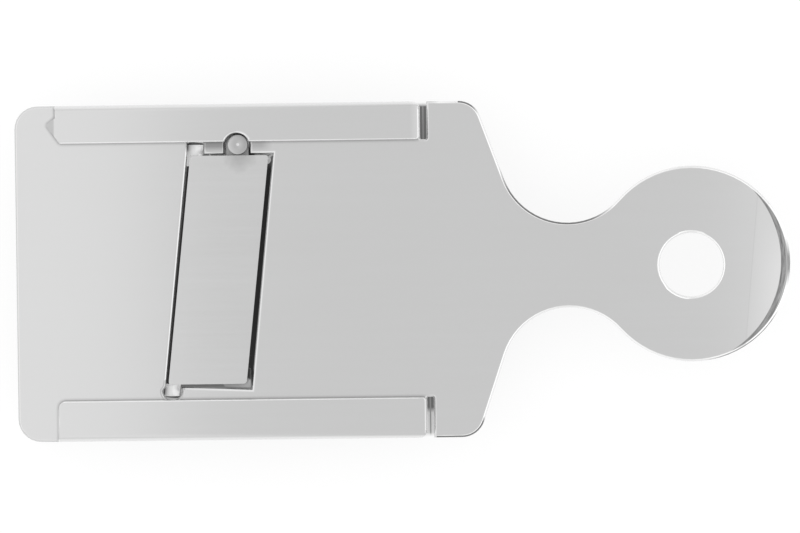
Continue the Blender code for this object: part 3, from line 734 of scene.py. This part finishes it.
def studRings(look, low, high):
    # radius and height of each ring, from the centre mark down to the thread's end
    head = look["headRadius"]
    shank = look["shankRadius"]
    chamfer = look["headChamfer"]
    ease = look["chamferBreak"] * chamfer
    under = high - look["headHeight"]
    groove = shank - look["threadDepth"]
    pitch = look["threadPitch"]
    rings = [(look["markFloor"], high - look["markDepth"]), (look["markRadius"], high),
             (head - chamfer, high), (head - ease, high - ease), (head, high - chamfer),
             (head, under), (shank, under)]
    z = under - look["shankLength"]
    rings.append((shank, z))
    while z > low + pitch:
        rings.append((groove, z - 0.5 * pitch))
        rings.append((shank, z - pitch))
        z -= pitch
    rings.append((groove, low))
    return rings


def makeStud(look):
    low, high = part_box("adjusting_stud")
    stud = ringStack("adjustingStud", studRings(look, low.z, high.z), studAxis)
    length = high.z - low.z
    shank = look["shankRadius"]
    flatAt = (studAxis.x + 2 * shank - look["flat"], studAxis.y, low.z + length / 2 - look["flatDrop"])
    carve(stud, cutterBox((2 * shank, 4 * shank, length), flatAt))
    paint = turnedPaint("studSteel", look, studAxis)
    # the centre mark is lighter, and the face round it darker towards its right side
    mark = 1 - paint.over(paint.reach(studAxis.xy), look["markRadius"], look["markSoft"])
    side = paint.part(paint.place(tuple(studAxis)), "X") / (2 * look["headRadius"])
    level = 1 + mark * look["markLift"] - side * look["sideDim"]
    paint.give("Base Color", paint.scaled(paint.colour, level))
    return finishPiece(stud, "stud", paint.owner, ["adjusting_stud"])


makeStud(studLook)


# washers

studWasherLook = dict(turnedLook, bore=1.8 * mm, ease=0.06 * mm)
knobWasherLook = {"low": (0.55, 0.38, 0.16, 1), "high": (0.78, 0.60, 0.30, 1), "blotchScale": 500,
                  "roughness": 0.3, "roughnessSpread": 0.15, "bore": 1.8 * mm, "ease": 0.1 * mm}


def brass(name, look):
    paint = Paint(bpy.data.materials.new(name))
    blotch = paint.noise(paint.place(centre=tuple(studAxis)), look["blotchScale"], detail=4.0)
    paint.give("Base Color", paint.blend(blotch, look["low"], look["high"]))
    paint.give("Metallic", 1.0)
    paint.give("Roughness", look["roughness"] + blotch * look["roughnessSpread"])
    return paint.owner


def makeWasher(node, name, body, material, look):
    low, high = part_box(node)
    bore = look["bore"]
    ease = look["ease"]
    outer = (high.x - low.x) / 2
    rings = [(bore, high.z - ease), (bore + ease, high.z), (outer - ease, high.z),
             (outer, high.z - ease), (outer, low.z + ease), (outer - ease, low.z),
             (bore + ease, low.z), (bore, low.z + ease)]
    washer = ringStack(name, rings, studAxis, closed=True)
    return finishPiece(washer, body, material, [node])


washerSteel = turnedPaint("washerSteel", studWasherLook, studAxis).owner
makeWasher("stud_washer", "studWasher", "stud", washerSteel, studWasherLook)
washerBrass = brass("washerBrass", knobWasherLook)
makeWasher("knob_washer", "knobWasher", "frame", washerBrass, knobWasherLook)


# knob: fluted, with a hub, a bore and a dished foot

knobLook = dict(turnedLook, tone=0.58, roughness=0.26, ringPitch=0.3 * mm, ringDepth=0.003 * mm,
                flutes=22, pointsPerFlute=12, fluteDepth=0.55 * mm, rim=0.6 * mm, rimSteps=4,
                hubRadius=4.8 * mm, hubHeight=1.0 * mm, hubSteps=96, bore=1.8 * mm, floor=1.5 * mm,
                dishRadius=6.2 * mm, dishDepth=0.4 * mm, overlap=1 * mm)


def flutedDrum(name, look, radius, low, high):
    around = look["flutes"] * look["pointsPerFlute"]
    centre = Vector((studAxis.x, studAxis.y, 0))
    deselectAll()
    bpy.ops.mesh.primitive_cylinder_add(vertices=around, radius=radius, depth=high - low,
                                        location=(centre.x, centre.y, (low + high) / 2))
    drum = bpy.context.object
    drum.name = name
    placeInMesh(drum)

    def phase(point):
        angle = math.atan2(point.y - centre.y, point.x - centre.x)
        return round(angle / (2 * math.pi) * around) % look["pointsPerFlute"]

    for step in range(1, look["pointsPerFlute"]):
        wave = (1 - math.cos(2 * math.pi * step / look["pointsPerFlute"])) / 2
        scale = 1 - look["fluteDepth"] * wave ** 2 / radius
        pick(drum, "VERT", lambda p: phase(p) == step)
        bpy.ops.transform.resize(value=(scale, scale, 1), center_override=centre)
        endEdit()
    pick(drum, "EDGE", lambda a, b: abs(a.z - b.z) < near)
    bpy.ops.mesh.bevel(offset=look["rim"], segments=look["rimSteps"], profile=0.5, affect="EDGES")
    endEdit()
    return drum


def makeKnob(look):
    low, high = knobLow.z, knobHigh.z
    radius = (knobHigh.x - knobLow.x) / 2
    knob = flutedDrum("adjustingKnob", look, radius, low, high - look["hubHeight"])
    hubDepth = look["hubHeight"] + look["overlap"]
    hub = cutterRod(look["hubRadius"], hubDepth, (studAxis.x, studAxis.y, high - hubDepth / 2),
                    look["hubSteps"])
    carve(knob, hub, "UNION")
    boreTop = high + look["overlap"]
    boreLow = low + look["floor"]
    boreAt = (studAxis.x, studAxis.y, (boreTop + boreLow) / 2)
    carve(knob, cutterRod(look["bore"], boreTop - boreLow, boreAt))
    dishRadius, dishDepth = look["dishRadius"], look["dishDepth"]
    carve(knob, ringStack("dish", [(dishRadius - dishDepth, low + dishDepth),
                                   (dishRadius + dishDepth, low - dishDepth)], studAxis))
    steel = turnedPaint("knobSteel", look, studAxis).owner
    return finishPiece(knob, "knob", steel, ["adjusting_knob"])


makeKnob(knobLook)


# spring, coiled between the bracket and the ear

springLook = {"wire": 0.25 * mm, "turns": 4, "stepsPerTurn": 48, "around": 14, "smoothTo": 60,
              "low": 0.3, "high": 0.46, "blotchScale": 1200, "roughness": 0.28,
              "roughnessSpread": 0.15}


def springPaint(look):
    paint = Paint(bpy.data.materials.new("springSteel"))
    blotch = paint.noise(paint.place(centre=tuple(studAxis)), look["blotchScale"])
    paint.give("Base Color", paint.blend(blotch, grey(look["low"]), grey(look["high"])))
    paint.give("Metallic", 1.0)
    paint.give("Roughness", look["roughness"] + blotch * look["roughnessSpread"])
    return paint.owner


def makeSpring(look):
    low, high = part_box("adjuster_spring")
    radius = (high.x - low.x) / 2 - look["wire"]
    climb = high.z - low.z - 2 * look["wire"]
    deselectAll()
    start = (studAxis.x + radius, studAxis.y, low.z + look["wire"])
    bpy.ops.mesh.primitive_circle_add(vertices=look["around"], radius=look["wire"], location=start,
                                      rotation=(math.radians(90), 0, 0))
    spring = bpy.context.object
    spring.name = "adjusterSpring"
    placeInMesh(spring)
    axis = bpy.data.objects.new("springAxis", None)
    bpy.context.scene.collection.objects.link(axis)
    axis.location = (studAxis.x, studAxis.y, 0)
    screw = spring.modifiers.new("coil", "SCREW")
    screw.object = axis
    screw.steps = look["stepsPerTurn"]
    screw.render_steps = look["stepsPerTurn"]
    screw.iterations = look["turns"]
    screw.screw_offset = climb / look["turns"]
    applyAll(spring)
    bpy.data.objects.remove(axis, do_unlink=True)
    startEdit(spring, "EDGE")
    bpy.ops.mesh.select_non_manifold()
    bpy.ops.mesh.fill_holes(sides=0)
    bpy.ops.mesh.select_all(action="SELECT")
    bpy.ops.mesh.normals_make_consistent(inside=False)
    endEdit()
    return finishPiece(spring, "frame", springPaint(look), ["adjuster_spring"],
                       look["smoothTo"])


makeSpring(springLook)


# blade screws, countersunk from below

screwLook = dict(turnedLook, tone=0.55, roughness=0.28, ringPitch=0.12 * mm, ringDepth=0.002 * mm,
                 headRadius=2.3 * mm, shankRadius=1.25 * mm, headHeight=1.0 * mm, lip=0.15 * mm,
                 ease=0.1 * mm, headEase=0.05 * mm, slot=0.6 * mm, slotDepth=0.35 * mm, steps=64)


def makeScrew(node, name, look, slotTurn):
    low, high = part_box(node)
    at = middle(node)
    head = look["headRadius"]
    shank = look["shankRadius"]
    ease = look["ease"]
    headEase = look["headEase"]
    rings = [(shank - ease, high.z), (shank, high.z - ease), (shank, low.z + look["headHeight"]),
             (head, low.z + look["lip"]), (head, low.z + headEase), (head - headEase, low.z)]
    screw = ringStack(name, rings, at, look["steps"])
    carve(screw, cutterBox((4 * head, look["slot"], 2 * look["slotDepth"]), (at.x, at.y, low.z), slotTurn))
    steel = turnedPaint(name + "Steel", look, at).owner
    return finishPiece(screw, "blade_unit", steel, [node])


for node, name, slotTurn in (("blade_screw_lower", "bladeScrewLower", 0.35),
                             ("blade_screw_middle", "bladeScrewMiddle", -0.5),
                             ("blade_screw_upper", "bladeScrewUpper", 1.2)):
    makeScrew(node, name, screwLook, slotTurn)


# bracket and saddles, spot-welded under the plate

strapLook = dict(satinLook, tone=0.52, roughness=0.36, grainTurn=90, edgeWidth=0.18 * mm,
                 sharperThan=50, shadeAt=(-40.9 * mm, 32.2 * mm), shade=(1.3 * mm, 0.5 * mm),
                 shadeTone=0.12)


def makeStrap(node, name, steel, look):
    strap = mergedCopy(node, name)
    softenEdges(strap, look["edgeWidth"], sharperThan=look["sharperThan"])
    return finishPiece(strap, "frame", steel, [node])


bracketSteel = shadedSteel("bracketSteel", strapLook)
makeStrap("adjuster_bracket", "adjusterBracket", bracketSteel, strapLook)
makeStrap("rod_saddle_upper", "rodSaddleUpper", bracketSteel, strapLook)
makeStrap("rod_saddle_lower", "rodSaddleLower", bracketSteel, strapLook)


# floor and world: pale, the floor keeping the slicer's shadow

floorLook = {"size": 4.0, "below": 0.05 * mm, "tone": 0.9, "glow": 1.05, "shadow": 0.25,
             "shadeTone": 0.065, "shadeSoft": 18 * mm, "shadeMiddle": (-44 * mm, -0.35 * mm),
             "shadeHalf": (58.5 * mm, 45.4 * mm), "mirrorShade": 0.5,
             "slots": ((1, 5.28 * mm), (-1, 6.28 * mm)), "slotStart": (27 * mm, 6 * mm),
             "slotEnd": (0.6 * mm, 1.2 * mm), "slot": (5.2 * mm, 8.4 * mm), "slotTone": 0.2,
             "streak": (0.14 * mm, 0.3 * mm), "streakTone": 0.4,
             "pale": (38.5 * mm, 1.5 * mm), "paleTone": 0.75, "paleStreak": 0.2}


def floorShade(paint, look):
    # the deck's shadow: how deep it is, growing from its sides, and its tone
    over = paint.over
    here = paint.place(centre=(*look["shadeMiddle"], 0))
    depths = [half - paint.size(paint.part(here, axis)) for axis, half in zip("XY", look["shadeHalf"])]
    depth = paint.maths("MINIMUM", *depths)
    inside = paint.clamp(depth / look["shadeSoft"])
    inside = inside * inside * (3 - 2 * inside)
    tone = paint.blend(inside, grey(look["tone"]), grey(look["shadeTone"]))
    # under the slots behind the rails it is as deep, with the light that falls through them
    flat = paint.place()
    x, y = [paint.part(flat, axis) for axis in "XY"]
    pale = over(-1 * y, *look["pale"])
    underTone = paint.blend(pale, grey(look["slotTone"]), grey(look["paleTone"]))
    streakTone = paint.blend(pale, grey(look["streakTone"]), grey(look["paleStreak"]))
    for side, slotX in look["slots"]:
        behind = over(y * side, *look["slotStart"]) * over(depth, *look["slotEnd"])
        off = paint.size(x - slotX)
        under = behind * (1 - over(off, *look["slot"]))
        streak = behind * (1 - over(off, *look["streak"]))
        tone = paint.blend(streak, paint.blend(under, tone, underTone), streakTone)
        inside = paint.maths("MAXIMUM", inside, under)
    return inside, tone


def makeFloor(look):
    deselectAll()
    at = (0, 0, cadBounds[0][2] - look["below"])
    bpy.ops.mesh.primitive_plane_add(size=look["size"], location=at)
    floor = bpy.context.object
    floor.name = "paleFloor"
    paint = Paint(bpy.data.materials.new("paleFloor"))
    paint.tree.nodes.remove(paint.shader)
    inside, tone = floorShade(paint, look)
    dull = paint.node("ShaderNodeBsdfDiffuse", sockets={"Color": tone})
    glow = paint.node("ShaderNodeEmission", sockets={"Color": grey(1.0), "Strength": look["glow"]})
    cameraRay, glossyRay, throughRay = [
        paint.node("ShaderNodeLightPath", output=ray)
        for ray in ("Is Camera Ray", "Is Glossy Ray", "Is Transmission Ray")]
    direct = (cameraRay * (1 - inside) * (1 - look["shadow"])
              + (glossyRay + throughRay) * (1 - inside * look["mirrorShade"]))
    mixed = paint.node("ShaderNodeMixShader", sockets={0: direct, 1: dull, 2: glow})
    paint.feed(paint.tree.nodes["Material Output"].inputs["Surface"], mixed)
    floor.data.materials.append(paint.owner)


makeFloor(floorLook)

worldLook = {"light": 0.95, "seen": 1.0}


def makeWorld(look):
    world = bpy.data.worlds.new("studio")
    bpy.context.scene.world = world
    paint = Paint(world, "Background")
    cameraRay = paint.node("ShaderNodeLightPath", output="Is Camera Ray")
    paint.give("Strength", look["light"] + cameraRay * (look["seen"] - look["light"]))
    paint.give("Color", grey(1.0))


makeWorld(worldLook)

# lamps: place and aim in metres, width and depth, and a panel's brightness over the world's
lampLooks = {
    "overLeft": {"at": (-0.341, 0.0, 0.25), "aim": (-0.341, 0.0, 0.0), "size": (0.517, 0.8), "light": 0.25},
    "overTip": {"at": (0.172, 0.0, 0.15), "aim": (0.172, 0.0, 0.0), "size": (0.16, 0.5), "light": 0.15},
    "lowRight": {"at": (0.75, 0.0, 0.42), "aim": (0.0, 0.0, 0.02), "size": (1.2, 0.7), "light": 0.25},
    "lowLeft": {"at": (-0.8, 0.0, 0.35), "aim": (0.0, 0.0, 0.02), "size": (1.0, 0.6), "light": 0.15},
    "lowBack": {"at": (-0.45, 0.7, 0.2), "aim": (-0.45, 0.0, 0.02), "size": (0.8, 0.4), "light": 0.2},
    "lowFront": {"at": (-0.45, -0.7, 0.2), "aim": (-0.45, 0.0, 0.02), "size": (0.8, 0.4), "light": 0.2},
    "rightBack": {"at": (0.4, 0.55, 0.5), "aim": (0.05, 0.0, 0.02), "size": (0.6, 0.5), "light": 0.15},
    "rightFront": {"at": (0.4, -0.55, 0.5), "aim": (0.05, 0.0, 0.02), "size": (0.6, 0.5), "light": 0.15},
}


def makeLamp(name, look):
    width, depth = look["size"]
    data = bpy.data.lights.new(name, "AREA")
    data.shape = "RECTANGLE"
    data.size = width
    data.size_y = depth
    data.energy = look["light"] * math.pi * width * depth
    lamp = bpy.data.objects.new(name, data)
    bpy.context.scene.collection.objects.link(lamp)
    lamp.location = look["at"]
    lamp.rotation_euler = (Vector(look["aim"]) - Vector(look["at"])).to_track_quat("-Z", "Y").to_euler()
    lamp.visible_camera = False


for name, look in lampLooks.items():
    makeLamp(name, look)
print("floor, world and", len(lampLooks), "lamps set")

# camera: a long lens over the slicer, leaning a little to the right
cameraLook = {"aim": (-0.625 * mm, 0.9 * mm), "distance": 2.0, "width": 215 * mm, "roll": 0.72,
              "leanRight": 2.5, "leanUp": 1.0, "sensor": 36, "clipStart": 0.1}


def makeCamera(look):
    data = bpy.data.cameras.new("camera")
    data.sensor_width = look["sensor"]
    data.lens = look["sensor"] * look["distance"] / look["width"]
    data.clip_start = look["clipStart"]
    camera = bpy.data.objects.new("camera", data)
    bpy.context.scene.collection.objects.link(camera)
    aim = Vector((*look["aim"], deckTop))
    back = Vector((math.tan(math.radians(look["leanRight"])), math.tan(math.radians(look["leanUp"])), 1))
    back.normalize()
    roll = math.radians(look["roll"])
    right = Vector((math.cos(roll), -math.sin(roll), 0))
    right = (right - back * right.dot(back)).normalized()
    up = back.cross(right)
    camera.matrix_world = Matrix.Translation(aim + back * look["distance"]) @ Matrix(
        (right, up, back)).transposed().to_4x4()
    bpy.context.scene.camera = camera


makeCamera(cameraLook)
bpy.context.scene.view_settings.view_transform = "Standard"
print("camera set")
